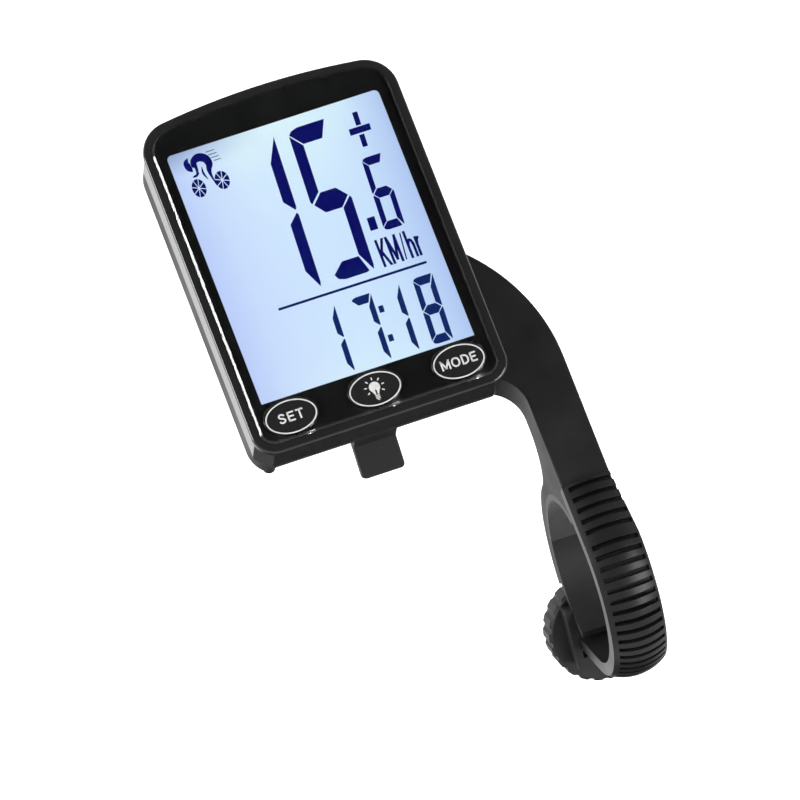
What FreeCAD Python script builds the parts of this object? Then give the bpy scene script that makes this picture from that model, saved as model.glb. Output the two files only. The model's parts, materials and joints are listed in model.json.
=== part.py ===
import FreeCAD, Part
import math
import os

from FreeCAD import Vector

# A wireless cycling computer on an out-front arm, clamped to a handlebar by a ribbed strap.
#
# Everything is drawn level first: X runs along the bar to the rider's right, Y runs forward
# in the plane of the display, Z is the display's outward normal, and the bar's axis is the
# X axis. place() then tilts the whole object toward the rider about the bar's axis.

# ---- driving dimensions, millimetres and degrees ----
TILT = 20.0

BAR_RADIUS = 15.9
PAD_THICK = 1.2
STRAP_EDGE_THICK = 2.5
CROWN = 1.6
STRAP_HALF = 5.3

HEAD_X = -33.7
HEAD_WIDTH = 50.0
HEAD_BOTTOM = 31.4
HEAD_HEIGHT = 69.5
TOP_ARC_R = 145.0
BOTTOM_CORNER_R = 4.5
TOP_CORNER_R = 6.5

# Levels through the head, from the back face to the lens face.
SKIRT_Z = 19.5
BACK_Z = 22.3
FLOOR_TOP_Z = 23.9
SPLIT_Z = 26.0
BOARD_Z = 27.0
BOARD_TOP_Z = 28.0
LEDGE_LOW_Z = 31.2
LEDGE_Z = 32.4
MASK_TOP_Z = 32.6
RIM_Z = 33.6
FACE_Z = 34.0

# Walls of the two shells, as insets from the rim's outline.
WALL_INSET = 0.25
WALL_INNER = 1.85
SHELL_INSET = 0.45
LENS_INSET = 1.7
LEDGE_INSET = 2.3
FIT_GAP = 0.05

# Display window and keys.
WINDOW_WIDTH = 41.8
WINDOW_HEIGHT = 51.7
WINDOW_BOTTOM = 41.4
KEY_MIDDLE_X = HEAD_X - 0.25
KEY_PITCH = 16.45
KEY_Y = WINDOW_BOTTOM - 4.0
KEY_WIDTH = 10.5
KEY_HEIGHT = 7.1
KEY_GAP = 0.12
KEY_TOP_Z = 34.05

# Coin cell and its door, centred in the upper half of the back.
CELL_Y = 80.0
CELL_R = 10.0
CELL_THICK = 3.2
CELL_Z = 23.55
DOOR_R = 12.85
DOOR_LIP_Z = 22.9
DOOR_TOP_Z = 23.4
DOOR_LUG_R = 13.8
WELL_R = 10.25
WELL_OUTER_R = 15.6

# Corner screws that close the case.
BOSS_PLACES = ((21.4, 35.2), (21.0, 94.9))
BOSS_R = 2.0
SCREW_R = 0.8

# Extension arm.
ARM_LEFT = -5.3
ARM_RIGHT = 4.2
ARM_TOP_Z = 19.0
ARM_LOW_Z = 10.2
BEND_X = -31.4
BEND_Y = 36.9
PLATE_NEAR_Y = 37.5
PLATE_FAR_Y = 66.0
PLATE_LEFT = HEAD_X - 12.0
PLATE_LOW_Z = 13.5

# Shoe on the arm, channel on the back of the head.
SHOE_NECK = 7.0
SHOE_HALF = 9.0
SHOE_NECK_Z = 20.4
SHOE_TOP_Z = 22.0
SHOE_NEAR_Y = 38.5
SHOE_FAR_Y = 64.0
RAIL_GAP = 0.3
RAIL_WALL = 2.5
LATCH_HALF = 4.2
LATCH_PIVOT_Y = 52.0
LATCH_PIVOT_Z = 21.1

# Strap path: flat on the arm, round the bar, then straight through the dial nut.
ROOT_Y = 12.7
LEAVE_ANGLE = 219.0
RIB_PITCH = 2.25
GROOVE_WIDTH = 0.95
GROOVE_FLOOR = BAR_RADIUS + 2.2
TAIL_LENGTH = 26.0
STRAP_MID = BAR_RADIUS + 1.55
STRAP_SHOULDER = BAR_RADIUS + STRAP_EDGE_THICK
STRAP_TOP = STRAP_SHOULDER + CROWN

NUT_NEAR = 16.2
NUT_THICK = 5.5
NUT_R = 10.2
NUT_BORE_R = 5.6
NUT_FLUTES = 22


# ---- basic solids ----
def box(x, y, z):
    """A block from three (low, high) pairs."""
    size = (x[1] - x[0], y[1] - y[0], z[1] - z[0])
    return Part.makeBox(size[0], size[1], size[2], Vector(x[0], y[0], z[0]))


def around(x, half):
    """A (low, high) pair centred on x."""
    return (x - half, x + half)


def post(x, y, radius, z):
    """A round post along Z."""
    return Part.makeCylinder(radius, z[1] - z[0], Vector(x, y, z[0]))


def axle(y, z, radius, x):
    """A round bar along X."""
    return Part.makeCylinder(radius, x[1] - x[0], Vector(x[0], y, z), Vector(1, 0, 0))


def oval(x, y, width, height, z):
    """An elliptical block along Z."""
    rim = Part.Ellipse(Vector(x, y, z[0]), width / 2, height / 2).toShape()
    return Part.Face(Part.Wire(rim)).extrude(Vector(0, 0, z[1] - z[0]))


def outline_prism(edges, run):
    """A prism on a closed outline of edges."""
    return Part.Face(Part.Wire(edges)).extrude(run)


def lines(points):
    """Straight edges through points, closed."""
    return [Part.LineSegment(a, b).toShape() for a, b in zip(points, points[1:] + points[:1])]


def union(shapes):
    """All the shapes fused into one solid."""
    return shapes[0].multiFuse(shapes[1:]).removeSplitter()


def cut(shape, tools):
    """The shape with every tool cut away."""
    return shape.cut(Part.makeCompound(tools))


def vertical_edges(solid, y_low, y_high):
    """Edges along Z that lie between two Y values."""
    found = []
    for edge in solid.Edges:
        ends = [v.Point for v in edge.Vertexes]
        upright = len(ends) == 2 and abs(ends[0].x - ends[1].x) + abs(ends[0].y - ends[1].y) < 1e-6
        if upright and y_low < ends[0].y < y_high:
            found.append(edge)
    return found


def level_edges(solid, z):
    """Edges that lie wholly at one height."""
    return [e for e in solid.Edges if all(abs(v.Point.z - z) < 1e-6 for v in e.Vertexes)
            and abs(e.BoundBox.ZLength) < 1e-6]


def sector(inner, outer, start, end, x):
    """A band about the bar between two angles, counted from +Y toward +Z."""
    face = Part.Face(Part.Wire(lines([
        Vector(x[0], inner, 0), Vector(x[1], inner, 0),
        Vector(x[1], outer, 0), Vector(x[0], outer, 0)])))
    face.rotate(Vector(), Vector(1, 0, 0), start)
    return face.revolve(Vector(), Vector(1, 0, 0), end - start)


# ---- outlines of the head ----
MIDDLE_Y = HEAD_BOTTOM + HEAD_HEIGHT / 2
HEAD_TOP = HEAD_BOTTOM + HEAD_HEIGHT
FAR = 1000.0


def sharp_slab(inset, z):
    """The head's outline with sharp corners: straight sides under a shallow arch."""
    half = HEAD_WIDTH / 2 - inset
    radius = TOP_ARC_R - inset
    shoulder = HEAD_TOP - TOP_ARC_R + math.sqrt(radius ** 2 - half ** 2)
    low_left = Vector(HEAD_X - half, HEAD_BOTTOM + inset, z[0])
    low_right = Vector(HEAD_X + half, HEAD_BOTTOM + inset, z[0])
    top_right = Vector(HEAD_X + half, shoulder, z[0])
    top_left = Vector(HEAD_X - half, shoulder, z[0])
    crown = Vector(HEAD_X, HEAD_TOP - inset, z[0])
    edges = [Part.LineSegment(top_left, low_left).toShape(),
             Part.LineSegment(low_left, low_right).toShape(),
             Part.LineSegment(low_right, top_right).toShape(),
             Part.Arc(top_right, crown, top_left).toShape()]
    return outline_prism(edges, Vector(0, 0, z[1] - z[0]))


def round_slab(inset, low, high):
    """The head's outline with round corners."""
    slab = sharp_slab(inset, (low, high))
    slab = slab.makeFillet(BOTTOM_CORNER_R - inset, vertical_edges(slab, -FAR, MIDDLE_Y))
    return slab.makeFillet(TOP_CORNER_R - inset, vertical_edges(slab, MIDDLE_Y, FAR))


BOTTOM_FLAT = 3.2
TOP_FLAT = 4.4
FLAT_SHRINK = 2 - math.sqrt(2)


def flat_slab(inset, low, high):
    """The head's outline with flats across its corners."""
    slab = sharp_slab(inset, (low, high))
    shrink = FLAT_SHRINK * inset
    slab = slab.makeChamfer(BOTTOM_FLAT - shrink, vertical_edges(slab, -FAR, MIDDLE_Y))
    return slab.makeChamfer(TOP_FLAT - shrink, vertical_edges(slab, MIDDLE_Y, FAR))


def key_places():
    """The three keys' centres along X."""
    return [KEY_MIDDLE_X - KEY_PITCH, KEY_MIDDLE_X, KEY_MIDDLE_X + KEY_PITCH]


def key_holes(z):
    """Oval clearance for the keys."""
    return [oval(x, KEY_Y, KEY_WIDTH + 2 * KEY_GAP, KEY_HEIGHT + 2 * KEY_GAP, z)
            for x in key_places()]


def boss_places():
    """The four corner screws' centres."""
    return [(HEAD_X + side * x, y) for side in (-1, 1) for x, y in BOSS_PLACES]


# ---- the head's case ----
RIM_LOW_Z = 32.2
RIM_ROUND = 0.5
BOSS_TOP_Z = 29.1
SEAL_OUT = 0.75
SEAL_IN = 1.35
SEAL_TOP_Z = 26.5
SCREW_END_Z = 28.3


def front_bezel():
    """Glossy frame: a rounded rim over a wall with flats across its corners."""
    wall = flat_slab(WALL_INSET, SPLIT_Z, RIM_LOW_Z)
    wall = wall.makeFillet(0.4, vertical_edges(wall, -FAR, FAR))
    rim = round_slab(0, RIM_LOW_Z, RIM_Z)
    rim = rim.makeFillet(RIM_ROUND, level_edges(rim, RIM_Z))
    body = union([wall, rim])
    body = cut(body, [round_slab(WALL_INNER, SPLIT_Z - 1, LEDGE_LOW_Z)])
    body = cut(body, [round_slab(LEDGE_INSET, LEDGE_LOW_Z - 1, LEDGE_Z + 1)])
    body = cut(body, [round_slab(LENS_INSET - FIT_GAP, LEDGE_Z, RIM_Z + 1)])
    bosses = [post(x, y, BOSS_R, (SPLIT_Z, BOSS_TOP_Z)) for x, y in boss_places()]
    body = union([body] + bosses)
    bores = [post(x, y, SCREW_R, (SPLIT_Z - 1, SCREW_END_Z + 0.2)) for x, y in boss_places()]
    groove = flat_slab(SEAL_OUT, SPLIT_Z - 1, SEAL_TOP_Z).cut(
        flat_slab(SEAL_IN, SPLIT_Z - 2, SEAL_TOP_Z + 1))
    return cut(body, bores + [groove])


def case_gasket():
    """Rubber ring in the joint between the two halves of the case."""
    return flat_slab(SEAL_OUT, SPLIT_Z, SEAL_TOP_Z).cut(
        flat_slab(SEAL_IN, SPLIT_Z - 1, SEAL_TOP_Z + 1))


LENS_BEVEL = 0.4


def display_lens():
    """Clear window with a bevelled edge and three oval key holes."""
    lens = round_slab(LENS_INSET, MASK_TOP_Z, FACE_Z)
    lens = lens.makeChamfer(LENS_BEVEL, level_edges(lens, FACE_Z))
    return cut(lens, key_holes((MASK_TOP_Z - 1, FACE_Z + 1)))


WINDOW_TOP_R = 1.0


def lens_mask():
    """Black printed layer behind the lens, open over the display."""
    mask = round_slab(LENS_INSET, LEDGE_Z, MASK_TOP_Z)
    window = box(around(HEAD_X, WINDOW_WIDTH / 2),
                 (WINDOW_BOTTOM, WINDOW_BOTTOM + WINDOW_HEIGHT), (LEDGE_Z - 1, MASK_TOP_Z + 1))
    window = window.makeFillet(WINDOW_TOP_R, vertical_edges(window, MIDDLE_Y, FAR))
    return cut(mask, [window] + key_holes((LEDGE_Z - 1, MASK_TOP_Z + 1)))


KEY_LOW_Z = 31.5
KEY_FLANGE_Z = 32.2
KEY_FLANGE_REACH = 0.6
KEY_FLANGE_HALF = 2.2
KEY_STEM_Z = 29.05
KEY_STEM_R = 1.5


def key(x):
    """Oval key: a soft-edged cap, a flange that holds it in, and a stem over its dome."""
    cap = oval(x, KEY_Y, KEY_WIDTH, KEY_HEIGHT, (KEY_LOW_Z, KEY_TOP_Z))
    cap = cap.makeFillet(0.25, level_edges(cap, KEY_TOP_Z))
    ends = around(x, KEY_WIDTH / 2 + KEY_FLANGE_REACH)
    flange = box(ends, around(KEY_Y, KEY_FLANGE_HALF), (KEY_LOW_Z, KEY_FLANGE_Z))
    stem = post(x, KEY_Y, KEY_STEM_R, (KEY_STEM_Z, KEY_LOW_Z))
    return union([cap, flange, stem])


def rail(side):
    """One rail of the channel: a wall with a lip turned in under the shoe."""
    inner = SHOE_HALF + RAIL_GAP
    outer = inner + RAIL_WALL
    lip = SHOE_NECK + RAIL_GAP
    low = ARM_TOP_Z + RAIL_GAP
    lip_top = SHOE_NECK_Z - 0.2
    profile = [Vector(side * a, RAIL_NEAR_Y, z) + Vector(HEAD_X, 0, 0) for a, z in (
        (lip, low), (outer, low), (outer, BACK_Z), (inner, BACK_Z), (inner, lip_top), (lip, lip_top))]
    return outline_prism(lines(profile), Vector(0, STOP_Y - RAIL_NEAR_Y, 0))


RAIL_NEAR_Y = 36.5
STOP_Y = SHOE_FAR_Y + RAIL_GAP
STOP_THICK = 2.2
PEG_X = HEAD_X - HEAD_WIDTH / 2 + 3.7
PEG_Y = HEAD_BOTTOM + 3.0
PEG_R = 1.25
PEG_LOW_Z = 17.9
NOTCH_Y = (34.2, 36.9)
NOTCH_TOP_Z = 23.3
SKIRT_HIGH_Z = 24.2
SKIRT_CORNER_R = 6.0
SKIRT_INNER = 3.2
SKIRT_SLOPE = 1.8
MOUTH_HALF = SHOE_HALF + RAIL_GAP + RAIL_WALL + 0.4
BAYONET_GROOVE_R = 14.0
BAYONET_GROOVE_Z = 23.5
DOOR_TURN = 50.0
COUNTERBORE_R = 1.7
COUNTERBORE_Z = 24.3


def bayonet_lugs(radius, z, turn):
    """Two short lugs on opposite sides of the battery door."""
    wide = around(CELL_Y, 2.2)
    both = box(around(HEAD_X, radius + 1), wide, z).common(post(HEAD_X, CELL_Y, radius, z))
    both.rotate(Vector(HEAD_X, CELL_Y, 0), Vector(0, 0, 1), turn)
    return both


def back_skirt():
    """Solid rim round the case's recessed back, sloped at its lower end and open for the shoe."""
    skirt = sharp_slab(SHELL_INSET, (SKIRT_Z, SKIRT_HIGH_Z))
    skirt = skirt.makeFillet(SKIRT_CORNER_R, vertical_edges(skirt, -FAR, FAR))
    recess = round_slab(SKIRT_INNER, SKIRT_Z - 1, BACK_Z)
    foot = HEAD_BOTTOM + SHELL_INSET
    below = foot - SKIRT_SLOPE
    profile = ((below, SKIRT_HIGH_Z), (foot, SKIRT_HIGH_Z), (foot + SKIRT_SLOPE, SKIRT_Z), (below, SKIRT_Z))
    slope = outline_prism(lines([Vector(HEAD_X - HEAD_WIDTH, y, z) for y, z in profile]),
                          Vector(2 * HEAD_WIDTH, 0, 0))
    mouth = box(around(HEAD_X, MOUTH_HALF), (HEAD_BOTTOM - 1, RAIL_NEAR_Y), (SKIRT_Z - 1, BACK_Z))
    return cut(skirt, [recess, slope, mouth])


def rear_shell():
    """Back half of the case, with the mounting channel, the cell well and screw bosses."""
    body = union([flat_slab(SHELL_INSET, SKIRT_HIGH_Z, SPLIT_Z), back_skirt()])
    body = cut(body, [round_slab(WALL_INNER + 0.2, FLOOR_TOP_Z, SPLIT_Z + 1)])
    added = [rail(-1), rail(1)]
    stop_half = SHOE_HALF + RAIL_GAP + RAIL_WALL
    added.append(box(around(HEAD_X, stop_half), (STOP_Y, STOP_Y + STOP_THICK),
                     (ARM_TOP_Z + RAIL_GAP, BACK_Z)))
    added.append(post(PEG_X, PEG_Y, PEG_R, (PEG_LOW_Z, SPLIT_Z - 1)))
    added.append(post(HEAD_X, CELL_Y, WELL_OUTER_R, (BACK_Z, SPLIT_Z)))
    added += [post(x, y, BOSS_R + 0.3, (FLOOR_TOP_Z - 0.5, SPLIT_Z)) for x, y in boss_places()]
    body = union([body] + added)
    holes = [post(x, y, SCREW_R + 0.1, (BACK_Z - 1, SPLIT_Z + 1)) for x, y in boss_places()]
    holes += [post(x, y, COUNTERBORE_R, (BACK_Z - 1, COUNTERBORE_Z)) for x, y in boss_places()]
    holes.append(box(around(HEAD_X, LATCH_HALF + 0.5), NOTCH_Y, (BACK_Z - 1, NOTCH_TOP_Z)))
    holes.append(post(HEAD_X, CELL_Y, DOOR_R + 0.15, (BACK_Z - 1, DOOR_LIP_Z)))
    holes.append(post(HEAD_X, CELL_Y, BAYONET_GROOVE_R, (DOOR_LIP_Z, BAYONET_GROOVE_Z)))
    holes.append(bayonet_lugs(BAYONET_GROOVE_R, (BACK_Z - 1, DOOR_LIP_Z + 0.1), -DOOR_TURN))
    holes.append(post(HEAD_X, CELL_Y, WELL_R, (BACK_Z, SPLIT_Z + 1)))
    holes.append(door_ring(SEAL_GROOVE_R, (BAYONET_GROOVE_Z - 0.1, SEAL_SEAT_Z)))
    holes.append(box((HEAD_X, HEAD_X + CELL_R + 0.4), around(CELL_Y, 2.8), (CELL_Z + 0.5, SPLIT_Z + 1)))
    return cut(body, holes)


SEAL_GROOVE_R = (10.9, 12.1)
SEAL_SEAT_Z = 24.1


def door_ring(radii, z):
    """A flat ring about the cell's axis."""
    return post(HEAD_X, CELL_Y, radii[1], z).cut(
        post(HEAD_X, CELL_Y, radii[0], (z[0] - 1, z[1] + 1)))


def door_seal():
    """Rubber ring that the battery door closes on."""
    return door_ring(SEAL_GROOVE_R, (DOOR_TOP_Z + 0.02, SEAL_SEAT_Z))


COIN_SLOT_HALF = 6.0


def battery_door():
    """Round bayonet door with a coin slot across it."""
    disc = post(HEAD_X, CELL_Y, DOOR_R, (BACK_Z + 0.05, DOOR_TOP_Z))
    lugs = bayonet_lugs(DOOR_LUG_R, (DOOR_LIP_Z + 0.05, DOOR_TOP_Z), 0)
    door = union([disc, lugs])
    slot = box(around(HEAD_X, COIN_SLOT_HALF), around(CELL_Y, 0.9), (BACK_Z - 1, BACK_Z + 0.65))
    return cut(door, [slot])


CASE_SCREW_HEAD_R = 1.5


def cross_recess(x, y, z, half):
    """A cross slot for a screwdriver."""
    return [box(around(x, half), around(y, half / 4), z), box(around(x, half / 4), around(y, half), z)]


def case_screws():
    """Four pan-head screws up through the back into the bezel's bosses."""
    screws = []
    for x, y in boss_places():
        head = post(x, y, CASE_SCREW_HEAD_R, (COUNTERBORE_Z - 1.1, COUNTERBORE_Z))
        shank = post(x, y, SCREW_R, (COUNTERBORE_Z, SCREW_END_Z))
        recess = cross_recess(x, y, (COUNTERBORE_Z - 1.2, COUNTERBORE_Z - 0.5), 1.0)
        screws.append(cut(union([head, shank]), recess))
    return Part.makeCompound(screws)


# ---- inside the head ----
PANEL_HALF = 21.8
PANEL_NEAR_Y = WINDOW_BOTTOM - 0.15
PANEL_FAR_Y = 95.2
PANEL_Z = 30.6
GLASS_THICK = 0.85
FRAME_HALF = 22.9
FRAME_WALL = 0.7
FRAME_FAR_Y = 96.2
FRAME_TOP_Z = 31.0
FRAME_LOW_Z = 28.2
GUIDE_HALF = 21.1
GUIDE_Z = 29.2
STRIP_Y = (93.6, 94.9)
STRIP_HALF = 17.0
LED_SIZE = (0.8, 3.0, 1.2)
LED_PITCH = 16.0


def lcd_panel():
    """Two glass plates; the rear one runs on past the front one to carry the contacts."""
    wide = around(HEAD_X, PANEL_HALF)
    rear = box(wide, (PANEL_NEAR_Y, PANEL_FAR_Y), (PANEL_Z, PANEL_Z + GLASS_THICK))
    front = box(wide, (PANEL_NEAR_Y, STRIP_Y[0]), (PANEL_Z + GLASS_THICK, PANEL_Z + 2 * GLASS_THICK))
    return union([rear, front])


def light_guide():
    """Clear plate that spreads the backlight behind the panel."""
    plate = box(around(HEAD_X, GUIDE_HALF), (WINDOW_BOTTOM, STRIP_Y[0] - 0.5), (GUIDE_Z, PANEL_Z - 0.1))
    return plate.makeChamfer(0.3, level_edges(plate, PANEL_Z - 0.1))


def led_centres():
    """The lamps' places up the right edge of the light guide."""
    return [MIDDLE_Y + step * LED_PITCH for step in (-1, 0, 1)]


def backlight_leds():
    """Three side-firing lamps against the light guide's right edge."""
    left = HEAD_X + GUIDE_HALF + FIT_GAP
    return Part.makeCompound([box((left, left + LED_SIZE[0]), around(y, LED_SIZE[1] / 2),
                                  (GUIDE_Z, GUIDE_Z + LED_SIZE[2])) for y in led_centres()])


def lcd_frame():
    """White tray that holds the light guide and the panel on the board."""
    near = PANEL_NEAR_Y - FRAME_WALL
    tray = box(around(HEAD_X, FRAME_HALF), (near, FRAME_FAR_Y), (FRAME_LOW_Z, FRAME_TOP_Z))
    tray = tray.common(round_slab(WALL_INNER + 0.1, FRAME_LOW_Z, FRAME_TOP_Z))
    pocket = box(around(HEAD_X, FRAME_HALF - FRAME_WALL),
                 (PANEL_NEAR_Y - FIT_GAP, FRAME_FAR_Y - FRAME_WALL), (GUIDE_Z - FIT_GAP, FRAME_TOP_Z + 1))
    slot = box(around(HEAD_X, STRIP_HALF + 0.2), (STRIP_Y[0] - 0.2, STRIP_Y[1] + 0.2),
               (FRAME_LOW_Z - 1, GUIDE_Z + 1))
    corners = [post(x, y, BOSS_R + 0.2, (FRAME_LOW_Z - 1, BOSS_TOP_Z + 0.05)) for x, y in boss_places()]
    return cut(tray, [pocket, slot] + corners)


def contact_strip():
    """Striped rubber connector between the board and the panel."""
    return box(around(HEAD_X, STRIP_HALF), STRIP_Y, (BOARD_TOP_Z, PANEL_Z))


BOARD_HALF = 22.0
BOARD_FAR_Y = 96.4
BOARD_NEAR_Y = 34.0


def toward_corner(at, middle):
    """A (low, high) pair from a boss's centre outward, away from the head's middle."""
    reach = 5.0
    return (at, at + reach) if at > middle else (at - reach, at)


def circuit_board():
    """Main board, notched round the case's corner bosses."""
    board = box(around(HEAD_X, BOARD_HALF), (BOARD_NEAR_Y, BOARD_FAR_Y), (BOARD_Z, BOARD_TOP_Z))
    board = board.common(round_slab(WALL_INNER + 0.2, BOARD_Z, BOARD_TOP_Z))
    notches = []
    for x, y in boss_places():
        notches.append(post(x, y, BOSS_R + 0.2, (BOARD_Z - 1, BOARD_TOP_Z + 1)))
        notches.append(box(toward_corner(x, HEAD_X), toward_corner(y, MIDDLE_Y),
                           (BOARD_Z - 1, BOARD_TOP_Z + 1)))
    return cut(board, notches)


DOME_R = 2.2
DOME_RISE = 0.6


def key_domes():
    """Three snap domes on the board, one under each key's stem."""
    ball = (DOME_R ** 2 + DOME_RISE ** 2) / (2 * DOME_RISE)
    domes = []
    for x in key_places():
        sphere = Part.makeSphere(ball, Vector(x, KEY_Y, BOARD_TOP_Z + DOME_RISE - ball))
        domes.append(sphere.common(post(x, KEY_Y, DOME_R, (BOARD_TOP_Z, BOARD_TOP_Z + DOME_RISE))))
    return Part.makeCompound(domes)


CHIP_Y = 53.0
CHIP_HALF = 4.5
CHIP_THICK = 1.2
LEG_PITCH = 1.0
LEG_HALF = 0.2
LEG_REACH = 1.0


def controller_chip():
    """Square chip with legs on four sides, under the board."""
    body_z = (BOARD_Z - CHIP_THICK, BOARD_Z - 0.1)
    leg_z = (BOARD_Z - 0.35, BOARD_Z)
    pieces = [box(around(HEAD_X, CHIP_HALF), around(CHIP_Y, CHIP_HALF), body_z)]
    for step in range(-3, 4):
        at = step * LEG_PITCH
        pieces.append(box(around(HEAD_X, CHIP_HALF + LEG_REACH), around(CHIP_Y + at, LEG_HALF), leg_z))
        pieces.append(box(around(HEAD_X + at, LEG_HALF), around(CHIP_Y, CHIP_HALF + LEG_REACH), leg_z))
    return union(pieces)


CRYSTAL_X = HEAD_X + 12.0
CRYSTAL_R = 1.0


def timing_crystal():
    """Small can that keeps time, lying on the board's underside."""
    z = BOARD_Z - CRYSTAL_R
    can = Part.makeCylinder(CRYSTAL_R, 6.0, Vector(CRYSTAL_X, CHIP_Y - 3.0, z), Vector(0, 1, 0))
    return can.makeChamfer(0.2, [e for e in can.Edges if e.Closed and abs(e.BoundBox.YLength) < 1e-6])


COIL_Y = 42.0
COIL_R = 1.45
COIL_HALF = 8.0


def radio_coil():
    """Ferrite rod with a winding that picks up the wheel sensor's signal."""
    z = BOARD_Z - COIL_R
    rod = axle(COIL_Y, z, COIL_R - 0.35, around(HEAD_X, COIL_HALF))
    winding = axle(COIL_Y, z, COIL_R, around(HEAD_X, COIL_HALF - 2.0))
    return union([rod, winding])


def coin_cell():
    """Coin cell, its smaller negative face toward the board."""
    can = post(HEAD_X, CELL_Y, CELL_R, (CELL_Z, CELL_Z + CELL_THICK - 0.4))
    can = can.makeFillet(0.4, level_edges(can, CELL_Z))
    cap = post(HEAD_X, CELL_Y, CELL_R - 1.3, (CELL_Z + CELL_THICK - 0.4, CELL_Z + CELL_THICK))
    return union([can, cap])


def battery_contact_minus():
    """Leaf on the board that presses on the middle of the cell."""
    return box(around(HEAD_X, 3.0), around(CELL_Y, 6.0), (CELL_Z + CELL_THICK, BOARD_Z))


CONTACT_THICK = 0.2


def battery_contact_plus():
    """Spring strip beside the cell, bent under the board."""
    side = HEAD_X + CELL_R
    upright = box((side, side + CONTACT_THICK), around(CELL_Y, 2.5), (CELL_Z + 0.8, BOARD_Z))
    foot = box((side, side + 4.0), around(CELL_Y, 2.5), (BOARD_Z - CONTACT_THICK, BOARD_Z))
    return union([upright, foot])


# ---- shoe and latch ----
SHOE_SCREW_X = 5.2
SHOE_SCREW_Y = 58.5
SHOE_SCREW_LOW_Z = 14.6
SHOE_SCREW_HEAD_R = 2.1
LATCH_SLOT_HALF = LATCH_HALF + 0.4
LATCH_PIN_R = 0.7


def shoe_screw_places():
    """The two screws that hold the shoe on the arm."""
    return [(HEAD_X + side * SHOE_SCREW_X, SHOE_SCREW_Y) for side in (-1, 1)]


def countersunk(x, y, top, low):
    """A countersunk screw with its head's face at the top."""
    cone = Part.makeCone(SCREW_R, SHOE_SCREW_HEAD_R, SHOE_SCREW_HEAD_R - SCREW_R,
                         Vector(x, y, top - SHOE_SCREW_HEAD_R + SCREW_R))
    return union([cone, post(x, y, SCREW_R, (low, top - SHOE_SCREW_HEAD_R + SCREW_R))])


def bracket_shoe():
    """T-section shoe, slotted for the latch, that the head slides onto."""
    neck = box(around(HEAD_X, SHOE_NECK), (SHOE_NEAR_Y, SHOE_FAR_Y), (ARM_TOP_Z, SHOE_NECK_Z))
    flange = box(around(HEAD_X, SHOE_HALF), (SHOE_NEAR_Y, SHOE_FAR_Y), (SHOE_NECK_Z, SHOE_TOP_Z))
    flange = flange.makeChamfer(0.9, vertical_edges(flange, SHOE_NEAR_Y - 1, SHOE_NEAR_Y + 1))
    slot_far = LATCH_PIVOT_Y + LATCH_PIN_R + 0.4
    slot = box(around(HEAD_X, LATCH_SLOT_HALF), (SHOE_NEAR_Y - 1, slot_far), (ARM_TOP_Z - 1, SHOE_TOP_Z + 1))
    pin_hole = axle(LATCH_PIVOT_Y, LATCH_PIVOT_Z, LATCH_PIN_R + FIT_GAP,
                    around(HEAD_X, LATCH_SLOT_HALF + 1.1))
    screws = [countersunk(x, y, SHOE_TOP_Z, SHOE_SCREW_LOW_Z) for x, y in shoe_screw_places()]
    return cut(union([neck, flange]), [slot, pin_hole] + screws)


def shoe_screws():
    """Two countersunk screws through the shoe into the arm."""
    screws = []
    for x, y in shoe_screw_places():
        recess = cross_recess(x, y, (SHOE_TOP_Z - 0.7, SHOE_TOP_Z + 1), 1.1)
        screws.append(cut(countersunk(x, y, SHOE_TOP_Z, SHOE_SCREW_LOW_Z), recess))
    return Part.makeCompound(screws)


TAB_LENGTH = 8.2
TAB_TOP_Z = 13.1
TAB_THICK = 2.0
TAB_DROP = 21.0
TAB_CORNER_R = 0.9
RISER_Y = (34.6, 36.4)
TONGUE_LOW_Z = 20.5
TONGUE_TOP_Z = 21.9
NUB_Y = (34.7, 36.8)
NUB_TOP_Z = 22.95


def release_latch():
    """Snap tongue in the shoe: pivot, nub that locks the head, and a thumb tab that slopes down."""
    wide = around(HEAD_X, LATCH_HALF)
    end = RISER_Y[1] - TAB_LENGTH
    tab = box(wide, (end, RISER_Y[1]), (TAB_TOP_Z - TAB_THICK, TAB_TOP_Z))
    tab = tab.makeFillet(TAB_CORNER_R, vertical_edges(tab, end - 1, end + 1))
    tab = tab.makeFillet(0.3, level_edges(tab, TAB_TOP_Z))
    tab.rotate(Vector(0, RISER_Y[1], TAB_TOP_Z), Vector(1, 0, 0), TAB_DROP)
    riser = box(wide, RISER_Y, (TAB_TOP_Z - TAB_THICK + 0.3, TONGUE_TOP_Z))
    tongue = box(wide, (RISER_Y[0], LATCH_PIVOT_Y), (TONGUE_LOW_Z, TONGUE_TOP_Z))
    pin = axle(LATCH_PIVOT_Y, LATCH_PIVOT_Z, LATCH_PIN_R, around(HEAD_X, LATCH_SLOT_HALF + 1.0))
    nub = outline_prism(lines([
        Vector(wide[0], NUB_Y[0], TONGUE_TOP_Z), Vector(wide[0], NUB_Y[0], NUB_TOP_Z),
        Vector(wide[0], NUB_Y[0] + 0.5, NUB_TOP_Z), Vector(wide[0], NUB_Y[1], TONGUE_TOP_Z)]),
        Vector(2 * LATCH_HALF, 0, 0))
    return union([tab, riser, tongue, pin, nub])


# ---- arm, strap and dial nut ----
INNER_BEND_R = 7.5
PLATE_CORNER_R = 6.0
FAR_BEND_R = 10.0
SADDLE_OUTER = 19.6
LOWER_OUTER = 17.6
PAD_START = -40.0
PAD_END = 66.0
SEAT_Y = 6.3
FLARE_Y = 28.0
FLARE_R = 8.6
FOOT_ALONG = (12.3, NUT_NEAR - 0.2)
FOOT_OUT = (10.4, 22.0)
FOOT_HALF = 6.8
THICK_END = -71.0
LOWER_END = LEAVE_ANGLE - 360.0 + 32.0


def tail_frame(shape):
    """Move a shape drawn with Y along the tail and -Z outward from the bar into place."""
    moved = shape.copy()
    moved.rotate(Vector(), Vector(1, 0, 0), LEAVE_ANGLE + 90)
    return moved


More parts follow.
